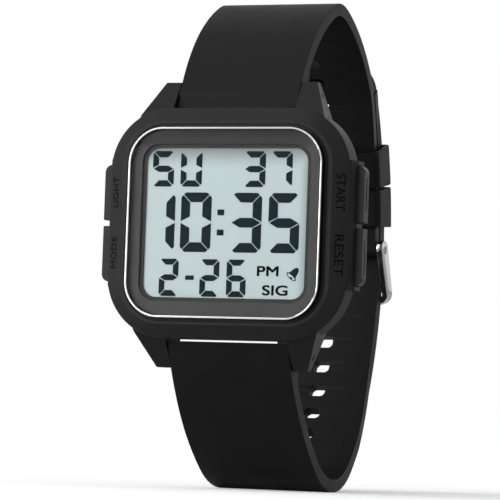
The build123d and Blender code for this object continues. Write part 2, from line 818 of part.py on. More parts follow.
buzzer_spring_length = body_back_depth - piezo_thickness - board_back_depth - 3 * buzzer_spring_wire
with BuildPart() as buzzer_spring:
    coil((piezo_offset_x - buzzer_spring_across,
          depth_to_y(board_back_depth + 3 * buzzer_spring_wire / 2), -buzzer_spring_down),
         (0, 1, 0), buzzer_spring_radius, buzzer_spring_wire, buzzer_spring_length,
         buzzer_spring_turns)
save(buzzer_spring, "buzzer_spring")

# Case back plate with counterbored screw holes
with BuildPart() as case_back:
    with BuildSketch(level(case_thickness)):
        RectangleRounded(plate_width, plate_height, plate_radius)
    extrude(amount=case_thickness - body_back_depth)
    chamfer(case_back.faces().sort_by(Axis.Y)[-1].edges(), length=plate_edge_chamfer)
    with BuildSketch(level(case_thickness)):
        with GridLocations(case_screw_pitch_x, case_screw_pitch_z, 2, 2):
            Circle(case_screw_hole_radius)
    extrude(amount=case_thickness - body_back_depth, mode=Mode.SUBTRACT)
    with BuildSketch(level(case_thickness)):
        with GridLocations(case_screw_pitch_x, case_screw_pitch_z, 2, 2):
            Circle(case_screw_head_radius + case_screw_head_gap)
    extrude(amount=case_screw_head_height, mode=Mode.SUBTRACT)
save(case_back, "case_back")

# Four case screws
with BuildPart() as case_screws:
    with BuildSketch(level(case_thickness)):
        with GridLocations(case_screw_pitch_x, case_screw_pitch_z, 2, 2):
            Circle(case_screw_head_radius)
    extrude(amount=case_screw_head_height)
    with BuildSketch(level(case_thickness)):
        with GridLocations(case_screw_pitch_x, case_screw_pitch_z, 2, 2):
            Circle(case_screw_radius)
    extrude(amount=case_screw_length)
    with BuildSketch(level(case_thickness)):
        with GridLocations(case_screw_pitch_x, case_screw_pitch_z, 2, 2):
            Rectangle(2 * case_screw_head_radius, case_screw_slot_width)
            Rectangle(case_screw_slot_width, 2 * case_screw_head_radius)
    extrude(amount=case_screw_slot_depth, mode=Mode.SUBTRACT)
save(case_screws, "case_screws")

# Seal ring in its groove behind the case back
with BuildPart() as case_back_seal:
    with BuildSketch(level(body_back_depth)):
        RectangleRounded(seal_width + seal_groove_width - 2 * seal_fit,
                         seal_height + seal_groove_width - 2 * seal_fit,
                         seal_radius + seal_groove_width / 2 - seal_fit)
        RectangleRounded(seal_width - seal_groove_width + 2 * seal_fit,
                         seal_height - seal_groove_width + 2 * seal_fit,
                         seal_radius - seal_groove_width / 2 + seal_fit, mode=Mode.SUBTRACT)
    extrude(amount=seal_groove_depth - seal_fit)
save(case_back_seal, "case_back_seal")

# Buttons: a cap with a groove, on a stem with grooves for its ring and its clip
clip_outer_x = clip_wall_x - e_clip_gap
clip_inner_x = clip_outer_x - e_clip_thickness
stem_end_x = wall_outer_width / 2 + button_travel + stem_end_gap
ring_x = (clip_wall_x + well_floor_x) / 2 + button_travel / 2
for name, side, half in BUTTONS:
    inward = (-side, 0, 0)
    axis_y = depth_to_y(button_axis_depth)
    axis_z = button_height * half
    facing = Plane(origin=(0, axis_y, axis_z), x_dir=(0, 0, half), z_dir=(side, 0, 0))
    with BuildPart() as button:
        with BuildSketch(level(button_back_depth)) as cap:
            with Locations(((button_inner_x + button_outer_x) / 2 * side, axis_z)):
                Rectangle(button_thickness, button_length)
            fillet(cap.vertices().sort_by(lambda v: v.X * side + v.Y * half)[-1],
                   radius=button_corner_radius)
            fillet(cap.vertices().sort_by(lambda v: v.X * side - v.Y * half)[-1],
                   radius=button_near_round)
        extrude(amount=button_back_depth - button_front_depth)
        with BuildSketch(facing.offset(button_outer_x)):
            SlotOverall(button_groove_length, button_groove_width)
        extrude(amount=-button_groove_depth, mode=Mode.SUBTRACT)
        with BuildSketch(facing.offset(stem_end_x)):
            Circle(stem_radius)
        extrude(amount=button_inner_x - stem_end_x)
        with BuildSketch(facing.offset(clip_inner_x - stem_groove_gap)):
            Circle(stem_radius + stem_groove_gap)
            Circle(clip_groove_radius, mode=Mode.SUBTRACT)
        extrude(amount=e_clip_thickness + 2 * stem_groove_gap, mode=Mode.SUBTRACT)
        with BuildSketch(facing.offset(ring_x - ring_groove_width / 2)):
            Circle(stem_radius + stem_groove_gap)
            Circle(ring_groove_radius, mode=Mode.SUBTRACT)
        extrude(amount=ring_groove_width, mode=Mode.SUBTRACT)
    save(button, name + "_button")

    with BuildPart() as button_seal:
        with BuildSketch(Plane(origin=(ring_x * side, axis_y, axis_z))):
            with Locations((0, ring_groove_radius + stem_groove_gap + o_ring_section_radius)):
                Circle(o_ring_section_radius)
        revolve(axis=Axis((ring_x * side, axis_y, axis_z), (1, 0, 0)))
    save(button_seal, name + "_button_seal")

    with BuildPart() as button_clip:
        with BuildSketch(facing.offset(clip_inner_x)):
            Circle(e_clip_radius)
            Circle(clip_groove_radius + stem_groove_gap, mode=Mode.SUBTRACT)
            with Locations((e_clip_radius, 0)):
                Rectangle(2 * e_clip_radius, 2 * clip_groove_radius, mode=Mode.SUBTRACT)
        extrude(amount=e_clip_thickness)
    save(button_clip, name + "_button_clip")

    with BuildPart() as button_spring:
        coil(((well_floor_x + 3 * button_spring_wire / 2) * side, axis_y, axis_z), (side, 0, 0),
             button_spring_radius, button_spring_wire,
             button_inner_x - well_floor_x - 3 * button_spring_wire, button_spring_turns)
    save(button_spring, name + "_button_spring")


def around(centre, radius, angle):
    """The point at an angle in degrees on a circle in the side view."""
    turn = math.radians(angle)
    return (centre[0] + radius * math.cos(turn), centre[1] + radius * math.sin(turn))


def arc_chain(start_angle, radii, sweeps, turn):
    """Tangent arcs as (centre, radius, from angle, to angle), begun about the rear centre."""
    arcs = []
    centre = (depth_to_y(rear_centre_depth), rear_centre_height)
    angle = start_angle
    for index, radius in enumerate(radii):
        arcs.append((centre, radius, angle, angle + turn * sweeps[index]))
        angle = angle + turn * sweeps[index]
        if index + 1 < len(radii):
            centre = around(centre, radius - radii[index + 1], angle)
    return arcs


def band_outline(arcs):
    """Draw a band of even thickness between an arc chain and the same chain further in."""
    for centre, radius, first, last in arcs:
        ThreePointArc(around(centre, radius, first), around(centre, radius, (first + last) / 2),
                      around(centre, radius, last))
    centre, radius, first, last = arcs[-1]
    Line(around(centre, radius, last), around(centre, radius - strap_thickness, last))
    for centre, radius, first, last in reversed(arcs):
        inner = radius - strap_thickness
        ThreePointArc(around(centre, inner, last), around(centre, inner, (first + last) / 2),
                      around(centre, inner, first))
    centre, radius, first, last = arcs[0]
    Line(around(centre, radius - strap_thickness, first), around(centre, radius, first))


def boss_web(arcs, half):
    """Corner points of the web that blends the round bar end into the band."""
    centre, radius, first, last = arcs[-1]
    back = math.degrees(boss_blend_length / radius) * (1 if last < first else -1)
    inner_point = around(centre, radius - strap_thickness, last + back)
    middle_point = around(centre, radius - strap_thickness / 2, last + back)
    bar = (depth_to_y(bar_depth), bar_height * half)
    span = math.dist(inner_point, bar)
    bearing = math.degrees(math.atan2(inner_point[1] - bar[1], inner_point[0] - bar[0]))
    swing = math.degrees(math.acos(strap_boss_radius / span))
    touch = around(bar, strap_boss_radius, bearing - swing * half)
    return [bar, touch, inner_point, middle_point]


def hole_cuts(arcs, first_length, pitch, count, depth):
    """Cut strap holes at even steps along the outer face. Used inside a part block."""
    for number in range(count):
        length = first_length + pitch * number
        for centre, radius, first, last in arcs:
            arc_length = math.radians(abs(last - first)) * radius
            if length <= arc_length:
                break
            length = length - arc_length
        angle = first + math.degrees(length / radius) * (1 if last > first else -1)
        place = around(centre, radius + hole_corner_radius, angle)
        turn = math.radians(angle)
        with BuildSketch(Plane(origin=(0, place[0], place[1]), x_dir=(1, 0, 0),
                               z_dir=(0, math.cos(turn), math.sin(turn)))) as hole:
            RectangleRounded(hole_width, hole_length, hole_corner_radius)
        extrude(hole.sketch, amount=-depth, mode=Mode.SUBTRACT)


def rear_plane(angle, radius):
    """A plane across the strap at the rear: local x is X and local y points outwards."""
    turn = math.radians(angle)
    place = around((depth_to_y(rear_centre_depth), rear_centre_height), radius, angle)
    return Plane(origin=(0, place[0], place[1]), x_dir=(1, 0, 0),
                 z_dir=(0, -math.sin(turn), math.cos(turn)))


# Plan view shared by both straps: even width at the lugs, then a taper, then even again
taper_length = taper_end_depth - taper_start_depth
taper_loss = strap_width_lugs - strap_width_rear
strap_plan = [
    (strap_width_lugs / 2, -case_thickness),
    (strap_width_lugs / 2, depth_to_y(taper_start_depth)),
    *[((strap_width_lugs - lost * taper_loss) / 2,
       depth_to_y(taper_start_depth + way * taper_length)) for way, lost in taper_shares],
    (strap_width_rear / 2, depth_to_y(taper_end_depth)),
    (strap_width_rear / 2, depth_to_y(rear_centre_depth) + long_rear_radius + case_thickness),
]
strap_plan_outline = strap_plan + [(-x, y) for x, y in reversed(strap_plan)]
strap_span = 2 * long_rear_radius
end_block_height = 2 * (half_height + strap_end_gap)

long_arcs = arc_chain(long_tip_angle,
                      (long_rear_radius, long_corner_radius, long_bottom_radius, long_front_radius),
                      (long_rear_sweep_angle, long_corner_sweep_angle, long_bottom_sweep_angle, long_front_sweep_angle), -1)
short_outer_radius = long_rear_radius - strap_thickness - layer_gap
short_arcs = arc_chain(0, (short_outer_radius, short_shoulder_radius, short_corner_radius,
                           short_crown_radius, short_front_radius),
                       (short_rear_sweep_angle, short_shoulder_sweep_angle, short_corner_sweep_angle,
                        short_crown_sweep_angle, short_front_sweep_angle), 1)

# Lower, longer strap half, which ends in the loose tip above the keepers
with BuildPart() as lower_strap:
    with BuildSketch(Plane.YZ):
        with BuildLine():
            band_outline(long_arcs)
        make_face()
        with BuildLine():
            Polyline(*boss_web(long_arcs, -1), close=True)
        make_face()
        with Locations((depth_to_y(bar_depth), -bar_height)):
            Circle(strap_boss_radius)
    extrude(amount=strap_width_lugs / 2, both=True)
    with BuildSketch(Plane.XY):
        with BuildLine():
            Polyline(*strap_plan_outline, close=True)
        make_face()
    extrude(amount=strap_span, both=True, mode=Mode.INTERSECT)
    Box(2 * strap_width_lugs, 2 * case_thickness, end_block_height, mode=Mode.SUBTRACT)
    with Locations(Location((0, depth_to_y(bar_depth), -bar_height), (0, 90, 0))):
        Cylinder(bar_radius + bar_bore_gap, 2 * strap_width_lugs, mode=Mode.SUBTRACT)
    tip_turn = math.radians(long_tip_angle)
    tip_place = around((depth_to_y(rear_centre_depth), rear_centre_height),
                       long_rear_radius - strap_thickness / 2, long_tip_angle)
    with BuildSketch(Plane(origin=(0, tip_place[0], tip_place[1]), x_dir=(1, 0, 0),
                           z_dir=(0, math.cos(tip_turn), math.sin(tip_turn)))):
        with Locations((0, (tip_round - cut_overrun) / 2)):
            Rectangle(2 * strap_width_rear, tip_round + cut_overrun)
        with Locations((0, 2 * tip_round)):
            RectangleRounded(strap_width_rear, 4 * tip_round, tip_round, mode=Mode.SUBTRACT)
    extrude(amount=2 * strap_thickness, both=True, mode=Mode.SUBTRACT)
    hole_cuts(long_arcs, long_hole_first, hole_pitch, long_hole_count, 2 * strap_thickness)
save(lower_strap, "lower_strap")

# Upper, shorter strap half, which carries the buckle and the fixed keeper
pivot_radius = short_outer_radius - strap_thickness / 2
pivot_y = depth_to_y(rear_centre_depth) + pivot_radius
pivot_z = rear_centre_height
with BuildPart() as upper_strap:
    with BuildSketch(Plane.YZ):
        with BuildLine():
            band_outline(short_arcs)
        make_face()
        with BuildLine():
            Polyline(*boss_web(short_arcs, 1), close=True)
        make_face()
        with Locations((depth_to_y(bar_depth), bar_height)):
            Circle(strap_boss_radius)
        with Locations((pivot_y, pivot_z)):
            Circle(pivot_boss_radius)
    extrude(amount=strap_width_lugs / 2, both=True)
    with BuildSketch(Plane.XY):
        with BuildLine():
            Polyline(*strap_plan_outline, close=True)
        make_face()
    extrude(amount=strap_span, both=True, mode=Mode.INTERSECT)
    Box(2 * strap_width_lugs, 2 * case_thickness, end_block_height, mode=Mode.SUBTRACT)
    with Locations(Location((0, depth_to_y(bar_depth), bar_height), (0, 90, 0))):
        Cylinder(bar_radius + bar_bore_gap, 2 * strap_width_lugs, mode=Mode.SUBTRACT)
    with Locations(Location((0, pivot_y, pivot_z), (0, 90, 0))):
        Cylinder(buckle_bar_radius + buckle_bar_gap, 2 * strap_width_lugs, mode=Mode.SUBTRACT)
    with Locations((0, pivot_y, pivot_z + (tang_slot_length - 2 * pivot_boss_radius) / 2)):
        Box(tang_width + 2 * tang_slot_gap, 4 * pivot_boss_radius,
            tang_slot_length + 2 * pivot_boss_radius, mode=Mode.SUBTRACT)
    hole_cuts(short_arcs, short_hole_first, hole_pitch, short_hole_count, 2 * strap_thickness)
save(upper_strap, "upper_strap")


def buckle_point(along, out):
    """A place in the side view: along the strap below the buckle bar, and out from it."""
    return (pivot_y + out, pivot_z - along)


# Buckle frame: two polished arms and the front bar that the tongue rests on
arm_inner_x = strap_width_rear / 2 + frame_arm_gap
frame_half_width = arm_inner_x + frame_arm_width
frame_bottom_z = pivot_z - frame_front_along - frame_front_round
with BuildPart() as buckle_frame:
    with BuildSketch(Plane.YZ):
        with Locations(buckle_point(-frame_top_along, frame_top_out)):
            Circle(frame_pivot_round)
        with Locations(buckle_point(frame_front_along, frame_front_out)):
            Circle(frame_front_round)
        make_hull()
    extrude(amount=frame_half_width, both=True)
    fillet(buckle_frame.faces().sort_by(Axis.X)[0].edges(), radius=frame_edge_round)
    fillet(buckle_frame.faces().sort_by(Axis.X)[-1].edges(), radius=frame_edge_round)
    with Locations((0, pivot_y, pivot_z)):
        Box(2 * arm_inner_x, strap_span / 2, strap_span, mode=Mode.SUBTRACT)
    with BuildSketch(Plane.YZ):
        with Locations(buckle_point(frame_front_along, frame_front_out)):
            Circle(frame_bar_round)
    extrude(amount=arm_inner_x + frame_arm_width / 2, both=True)
    with BuildSketch(Plane.XZ):
        with Locations((0, frame_bottom_z + strap_span / 2)):
            RectangleRounded(2 * frame_half_width, strap_span, frame_corner_radius)
    extrude(amount=-strap_span, both=True, mode=Mode.INTERSECT)
    with Locations(Location((0, pivot_y, pivot_z), (0, 90, 0))):
        Cylinder(buckle_bar_radius + buckle_bar_fit, 2 * strap_width_lugs, mode=Mode.SUBTRACT)
save(buckle_frame, "buckle_frame")

# Buckle bar through the arms, the strap end and the tongue
with BuildPart() as buckle_bar:
    with Locations(Location((0, pivot_y, pivot_z), (0, 90, 0))):
        Cylinder(buckle_bar_radius, 2 * (frame_half_width - buckle_bar_inset))
    chamfer(buckle_bar.edges(), length=buckle_bar_radius / 4)
save(buckle_bar, "buckle_bar")

# Tongue: a sleeve on the bar and a bent strip through a strap hole to the front bar
tang_path = [buckle_point(tang_root_along, tang_root_out), buckle_point(tang_turn_along, tang_turn_out),
             buckle_point(tang_bend_along, tang_bend_out), buckle_point(tang_tip_along, tang_tip_out)]
with BuildPart() as buckle_tang:
    with BuildSketch(Plane.YZ):
        with Locations((pivot_y, pivot_z)):
            Circle(tang_sleeve_radius)
    extrude(amount=tang_width / 2, both=True)
    for first_point, second_point in zip(tang_path, tang_path[1:]):
        with BuildSketch(Plane.YZ):
            with Locations(first_point, second_point):
                Circle(tang_thickness / 2)
            make_hull()
        extrude(amount=tang_width / 2, both=True)
    with Locations(Location((0, pivot_y, pivot_z), (0, 90, 0))):
        Cylinder(buckle_bar_radius + buckle_bar_gap, strap_width_rear, mode=Mode.SUBTRACT)
save(buckle_tang, "buckle_tang")

# Keepers: closed bands round both layers, turned about the rear centre
layer_inner = short_outer_radius - strap_thickness
keeper_middle_radius = (long_rear_radius + layer_inner) / 2
keeper_hollow_width = strap_width_rear + 2 * keeper_side_gap
keeper_hollow_depth = long_rear_radius - layer_inner + 2 * keeper_face_gap
rear_axis = Axis((0, depth_to_y(rear_centre_depth), rear_centre_height), (1, 0, 0))
free_keeper_angle = fixed_keeper_angle + keeper_sweep_angle + free_keeper_gap_angle
for name, start_angle in (("fixed_keeper", fixed_keeper_angle), ("free_keeper", free_keeper_angle)):
    with BuildPart() as keeper:
        with BuildSketch(rear_plane(start_angle, keeper_middle_radius)):
            RectangleRounded(keeper_hollow_width + 2 * keeper_side_wall,
                             keeper_hollow_depth + 2 * keeper_face_wall, keeper_corner_radius)
            Rectangle(keeper_hollow_width, keeper_hollow_depth, mode=Mode.SUBTRACT)
        revolve(axis=rear_axis, revolution_arc=keeper_sweep_angle)
        fillet(keeper.edges(), radius=keeper_edge_round)
    save(keeper, name)

# Spring bars between the lugs: a rolled tube, two sprung pins and the coil between them
tube_half_length = slot_half_width - bar_tube_end_gap
pin_tip_x = slot_half_width + bar_pin_reach
shoulder_outer_x = tube_half_length - bar_tube_end_wall - bar_end_gap
shoulder_inner_x = shoulder_outer_x - bar_shoulder_length
for name, half in (("upper", 1), ("lower", -1)):
    bar_place = (0, depth_to_y(bar_depth), bar_height * half)
    bar_plane = Plane(origin=bar_place, x_dir=(0, 1, 0), z_dir=(1, 0, 0))
    with BuildPart() as bar_tube:
        with BuildSketch(bar_plane):
            Circle(bar_radius)
            Circle(bar_pin_radius + bar_pin_gap, mode=Mode.SUBTRACT)
        extrude(amount=tube_half_length, both=True)
        with BuildSketch(bar_plane):
            Circle(bar_shoulder_radius + bar_pin_gap)
        extrude(amount=tube_half_length - bar_tube_end_wall, both=True, mode=Mode.SUBTRACT)
    save(bar_tube, name + "_bar_tube")

    for side_name, side in (("left", -1), ("right", 1)):
        pin_plane = Plane(origin=bar_place, x_dir=(0, side, 0), z_dir=(side, 0, 0))
        with BuildPart() as bar_pin:
            with BuildSketch(pin_plane.offset(shoulder_inner_x)):
                Circle(bar_shoulder_radius)
            extrude(amount=bar_shoulder_length)
            with BuildSketch(pin_plane.offset(shoulder_inner_x)):
                Circle(bar_pin_radius)
            extrude(amount=pin_tip_x - shoulder_inner_x)
            chamfer(bar_pin.faces().sort_by(Axis.X)[-1 if side > 0 else 0].edges(),
                    length=bar_pin_radius / 3)
        save(bar_pin, name + "_bar_pin_" + side_name)

    with BuildPart() as bar_spring:
        coil((3 * bar_spring_wire / 2 - shoulder_inner_x, bar_place[1], bar_place[2]), (1, 0, 0),
             bar_spring_radius, bar_spring_wire, 2 * shoulder_inner_x - 3 * bar_spring_wire,
             bar_spring_turns)
    save(bar_spring, name + "_bar_spring")
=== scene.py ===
import math
import bmesh
import bpy
from mathutils import Matrix, Vector


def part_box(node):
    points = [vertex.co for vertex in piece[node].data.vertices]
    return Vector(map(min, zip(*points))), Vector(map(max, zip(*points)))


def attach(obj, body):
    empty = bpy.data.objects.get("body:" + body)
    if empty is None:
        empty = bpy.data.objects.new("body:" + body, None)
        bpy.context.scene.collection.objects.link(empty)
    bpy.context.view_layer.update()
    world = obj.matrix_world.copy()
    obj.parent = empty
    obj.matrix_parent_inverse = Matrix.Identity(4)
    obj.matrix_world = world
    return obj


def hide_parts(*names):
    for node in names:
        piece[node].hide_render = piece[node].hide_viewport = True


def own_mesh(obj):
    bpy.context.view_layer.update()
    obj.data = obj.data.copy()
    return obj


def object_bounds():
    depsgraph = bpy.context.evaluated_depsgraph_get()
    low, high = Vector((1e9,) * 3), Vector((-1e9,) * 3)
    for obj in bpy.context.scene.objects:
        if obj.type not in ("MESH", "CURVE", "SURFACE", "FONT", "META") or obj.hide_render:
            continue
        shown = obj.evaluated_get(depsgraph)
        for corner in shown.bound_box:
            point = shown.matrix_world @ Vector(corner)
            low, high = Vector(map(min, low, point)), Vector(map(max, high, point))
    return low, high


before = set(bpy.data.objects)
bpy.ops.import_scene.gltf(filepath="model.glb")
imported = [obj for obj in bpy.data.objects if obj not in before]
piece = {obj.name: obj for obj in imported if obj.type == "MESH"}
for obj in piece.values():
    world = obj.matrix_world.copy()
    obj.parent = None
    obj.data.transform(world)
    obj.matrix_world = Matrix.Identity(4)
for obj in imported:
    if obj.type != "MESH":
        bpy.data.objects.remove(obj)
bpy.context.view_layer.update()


# Case body. One moulding of black resin with the lugs, the button guards and the ledges
# for the module. It leaves a steel mould with a fine satin skin, so it is dull rather
# than glossy, and its edges are a little round to the touch.
mm = 0.001
case_edge = 0.16 * mm
resin_black = (0.0050, 0.0050, 0.0052)
resin_worn = (0.0080, 0.0080, 0.0083)
faint, strong = 0.3, 0.7
patch_across = 7.0 * mm
seam_gap = 0.002 * mm
crisp_angle = math.radians(28.0)


def blank_finish(name):
    """A new finish: the material, its node tree and its shader."""
    finish = bpy.data.materials.new(name)
    finish.use_nodes = True
    return finish, finish.node_tree, finish.node_tree.nodes["Principled BSDF"]


def own_place(tree, stretch=(1.0, 1.0, 1.0)):
    """Places on the piece itself, in metres, stretched where the grain runs one way."""
    place = tree.nodes.new("ShaderNodeTexCoord").outputs["Object"]
    if stretch == (1.0, 1.0, 1.0):
        return place
    turned = tree.nodes.new("ShaderNodeMapping")
    turned.inputs["Scale"].default_value = stretch
    tree.links.new(place, turned.inputs["Vector"])
    return turned.outputs["Vector"]


def clouds(tree, place, across, detail=3.0):
    """Soft clouds, each about so many metres across."""
    field = tree.nodes.new("ShaderNodeTexNoise")
    field.inputs["Scale"].default_value = 1.0 / across
    field.inputs["Detail"].default_value = detail
    tree.links.new(place, field.inputs["Vector"])
    return field.outputs["Fac"]


def between(tree, field, low, high, first=faint, last=strong):
    """The field from its first to its last value, spread between two others."""
    spread = tree.nodes.new("ShaderNodeMapRange")
    spread.inputs["From Min"].default_value = first
    spread.inputs["From Max"].default_value = last
    spread.inputs["To Min"].default_value = low
    spread.inputs["To Max"].default_value = high
    tree.links.new(field, spread.inputs["Value"])
    return spread.outputs["Result"]


def two_shades(tree, field, first, second):
    """One colour in two shades, mixed by the field."""
    mix = tree.nodes.new("ShaderNodeMix")
    mix.data_type = "RGBA"
    mix.inputs["A"].default_value = (*first, 1.0)
    mix.inputs["B"].default_value = (*second, 1.0)
    tree.links.new(between(tree, field, 0.0, 1.0), mix.inputs["Factor"])
    return mix.outputs["Result"]


def skin_relief(tree, shader, field, height):
    """Fine relief of the surface, as high as given in metres."""
    bump = tree.nodes.new("ShaderNodeBump")
    bump.inputs["Distance"].default_value = height
    tree.links.new(field, bump.inputs["Height"])
    tree.links.new(bump.outputs["Normal"], shader.inputs["Normal"])


def moulded(name, deep, pale, dull, grain, relief, gloss):
    """Moulded resin or rubber: two shades, a mould skin of that grain and uneven dullness."""
    finish, tree, shader = blank_finish(name)
    place = own_place(tree)
    patches = clouds(tree, place, patch_across)
    tree.links.new(two_shades(tree, patches, deep, pale), shader.inputs["Base Color"])
    tree.links.new(between(tree, patches, *dull), shader.inputs["Roughness"])
    skin_relief(tree, shader, clouds(tree, place, grain, 2.0), relief)
    shader.inputs["Specular IOR Level"].default_value = gloss
    return finish


def dress(name, finish):
    """Puts a finish on a piece of the frame."""
    piece[name].data.materials.clear()
    piece[name].data.materials.append(finish)


def ease_edges(name, width, steps=2):
    """Rounds the crisp edges of a piece as its mould or tumbling does."""
    seam = piece[name].modifiers.new("join_seams", "WELD")
    seam.merge_threshold = seam_gap
    edge = piece[name].modifiers.new("eased_edge", "BEVEL")
    edge.width = width
    edge.segments = steps
    edge.limit_method = "ANGLE"
    edge.angle_limit = crisp_angle
    even = piece[name].modifiers.new("even_faces", "WEIGHTED_NORMAL")
    even.keep_sharp = True


case_resin = moulded("case_resin", resin_black, resin_worn, (0.42, 0.52), 0.10 * mm,
                     0.010 * mm, 0.13)
dress("case_body", case_resin)
ease_edges("case_body", case_edge)

# Bezel. A second moulding of the same resin with a flat rim and a wide bevel, pressed
# onto the case. The bevel carries what each button does, in shallow raised letters of
# a duller black, so that the words show only as a darker tone.
bezel_edge = 0.14 * mm
bezel_words = (("LIGHT", -1, 5.1, 5.3, 1.3), ("MODE", -1, -5.3, 5.4, 1.3),
               ("START", 1, 5.4, 6.3, 1.55), ("RESET", 1, -5.1, 6.9, 1.55))
word_rise = 0.05 * mm
bevel_middle = (20.45 * mm, -9.974 * mm)
bevel_run = Vector((2.70, 1.30)).normalized()
bezel_resin = moulded("bezel_resin", (0.0070, 0.0070, 0.0072), (0.0105, 0.0105, 0.0108),
                      (0.40, 0.50), 0.09 * mm, 0.008 * mm, 0.14)
dress("bezel", bezel_resin)
ease_edges("bezel", bezel_edge)
word_resin = moulded("word_resin", (0.0015, 0.0015, 0.0015), (0.0025, 0.0025, 0.0025),
                     (0.45, 0.60), 0.09 * mm, 0.004 * mm, 0.03)


def set_word(name, text, finish, middle, along, upward, length, height, thickness):
    """One word as thin flat letters, centred at a place and as long and high as given."""
    letters = bpy.data.curves.new(name, "FONT")
    letters.body = text
    letters.align_x = "CENTER"
    letters.align_y = "CENTER"
    letters.size = 1.0
    word = bpy.data.objects.new(name, letters)
    bpy.context.scene.collection.objects.link(word)
    bpy.context.view_layer.update()
    wide, tall = word.dimensions.x, word.dimensions.y
    out = along.cross(upward)
    letters.extrude = thickness / (height / tall)
    word.matrix_world = (Matrix.Translation(middle)
                         @ Matrix((along, upward, out)).transposed().to_4x4()
                         @ Matrix.Diagonal((length / wide, height / tall, height / tall, 1.0)))
    word.data.materials.append(finish)
    return word


for text, side, height_on_case, length, letter_height in bezel_words:
    along = Vector((0.0, 0.0, -float(side)))
    upward = Vector((side * bevel_run.x, bevel_run.y, 0.0))
    middle = Vector((side * bevel_middle[0], bevel_middle[1], height_on_case * mm))
    word = set_word(text.lower() + "_word", text, word_resin, middle, along, upward,
                    length * mm, letter_height * mm, word_rise)
    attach(word, "watch")

# Buttons. Four caps of black resin, each in one piece with its stem, with a shallow
# groove for the fingertip. They slide in the guards against small coil springs.
button_edge = 0.10 * mm
button_resin = moulded("button_resin", (0.0090, 0.0090, 0.0093), (0.0150, 0.0150, 0.0153),
                       (0.38, 0.46), 0.08 * mm, 0.006 * mm, 0.15)
for name in ("light", "mode", "start", "reset"):
    dress(name + "_button", button_resin)
    ease_edges(name + "_button", button_edge)

# Springs, clips and seals of the buttons. The springs are wound from bright stainless
# wire and shorten as their buttons go in, the clips are stamped from spring steel, and
# each stem runs in a black rubber ring.
wire_grey = (0.34, 0.34, 0.35)


def bare_metal(name, deep, pale, polish, patch, stretch=(1.0, 1.0, 1.0), relief=0.0):
    """Bare metal: two shades of grey or brass, with the marks of its making."""
    finish, tree, shader = blank_finish(name)
    marks = clouds(tree, own_place(tree, stretch), patch)
    tree.links.new(two_shades(tree, marks, deep, pale), shader.inputs["Base Color"])
    tree.links.new(between(tree, marks, *polish), shader.inputs["Roughness"])
    shader.inputs["Metallic"].default_value = 1.0
    if relief:
        skin_relief(tree, shader, marks, relief)
    return finish


spring_wire = bare_metal("spring_wire", wire_grey, (0.52, 0.52, 0.53), (0.20, 0.30), 0.4 * mm)
clip_steel = bare_metal("clip_steel", (0.26, 0.26, 0.27), (0.42, 0.42, 0.43), (0.25, 0.40),
                        0.3 * mm)
seal_rubber = moulded("seal_rubber", (0.004, 0.004, 0.004), (0.008, 0.008, 0.008),
                      (0.55, 0.70), 0.12 * mm, 0.008 * mm, 0.25)


def coil_of(name, node, half=0):
    """A copy of a spring node in spring wire, which stands for it; with a side given, only that
    half is kept.
    """
    coil = bpy.data.objects.new(name, piece[node].data.copy())
    bpy.context.scene.collection.objects.link(coil)
    if half:
        form = bmesh.new()
        form.from_mesh(coil.data)
        cut = bmesh.ops.bisect_plane(form, geom=form.verts[:] + form.edges[:] + form.faces[:],
                                     plane_co=(0.0, 0.0, 0.0), plane_no=(half, 0.0, 0.0),
                                     clear_inner=True)
        rim = [line for line in cut["geom_cut"] if isinstance(line, bmesh.types.BMEdge)]
        bmesh.ops.holes_fill(form, edges=rim)
        form.to_mesh(coil.data)
        form.free()
    coil.data.materials.clear()
    coil.data.materials.append(spring_wire)
    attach(coil, "watch")
    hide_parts(node)
    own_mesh(coil)


for name, outward in (("light", -1), ("mode", -1), ("start", 1), ("reset", 1)):
    dress(name + "_button_spring", spring_wire)
    coil_of(name + "_return_coil", name + "_button_spring")
    dress(name + "_button_clip", clip_steel)
    dress(name + "_button_seal", seal_rubber)

# Ring and gasket round the glass. The ring has a bright plated skin, with painted shade in
# its narrow outer step. It sits in a black rubber gasket of L section, whose upright shows as
# a fine dark line outside it.
ring_half = (17.8 * mm, 16.4 * mm)
ring_corner = 6.35 * mm
shaded_step_width = 0.20 * mm
shade_step_fade = 0.03 * mm


def worked(tree, operation, first, second=None):
    """One step of arithmetic on one or two values; the second may be a plain number."""
    step = tree.nodes.new("ShaderNodeMath")
    step.operation = operation
    tree.links.new(first, step.inputs[0])
    if isinstance(second, float):
        step.inputs[1].default_value = second
    elif second is not None:
        tree.links.new(second, step.inputs[1])
    return step.outputs["Value"]


def length_of(tree, vector):
    """How long a vector is."""
    span = tree.nodes.new("ShaderNodeVectorMath")
    span.operation = "LENGTH"
    tree.links.new(vector, span.inputs[0])
    return span.outputs["Value"]


def plating_with_painted_shade():
    """Bright plating, with painted shade in the narrow outer step of the ring."""
    finish, tree, shader = blank_finish("ring_plating_with_shade")
    parted = tree.nodes.new("ShaderNodeSeparateXYZ")
    tree.links.new(own_place(tree), parted.inputs["Vector"])
    beyond = tree.nodes.new("ShaderNodeCombineXYZ")
    for way, half in (("X", ring_half[0]), ("Z", ring_half[1])):
        far = worked(tree, "ABSOLUTE", parted.outputs[way])
        past = worked(tree, "SUBTRACT", far, half - ring_corner)
        tree.links.new(worked(tree, "MAXIMUM", past, 0.0), beyond.inputs[way])
    # Painted shade: the outer step of the ring is mixed towards near black.
    step = ring_corner - shaded_step_width
    rim = between(tree, length_of(tree, beyond.outputs["Vector"]), faint, strong,
                  step - shade_step_fade, step + shade_step_fade)
    tree.links.new(two_shades(tree, rim, (0.62, 0.62, 0.63), (0.010, 0.010, 0.010)),
                   shader.inputs["Base Color"])
    tree.links.new(between(tree, rim, 0.10, 0.40), shader.inputs["Roughness"])
    shader.inputs["Metallic"].default_value = 1.0
    return finish


ring_plating_with_shade = plating_with_painted_shade()
dress("chrome_ring", ring_plating_with_shade)
dress("crystal_gasket", seal_rubber)

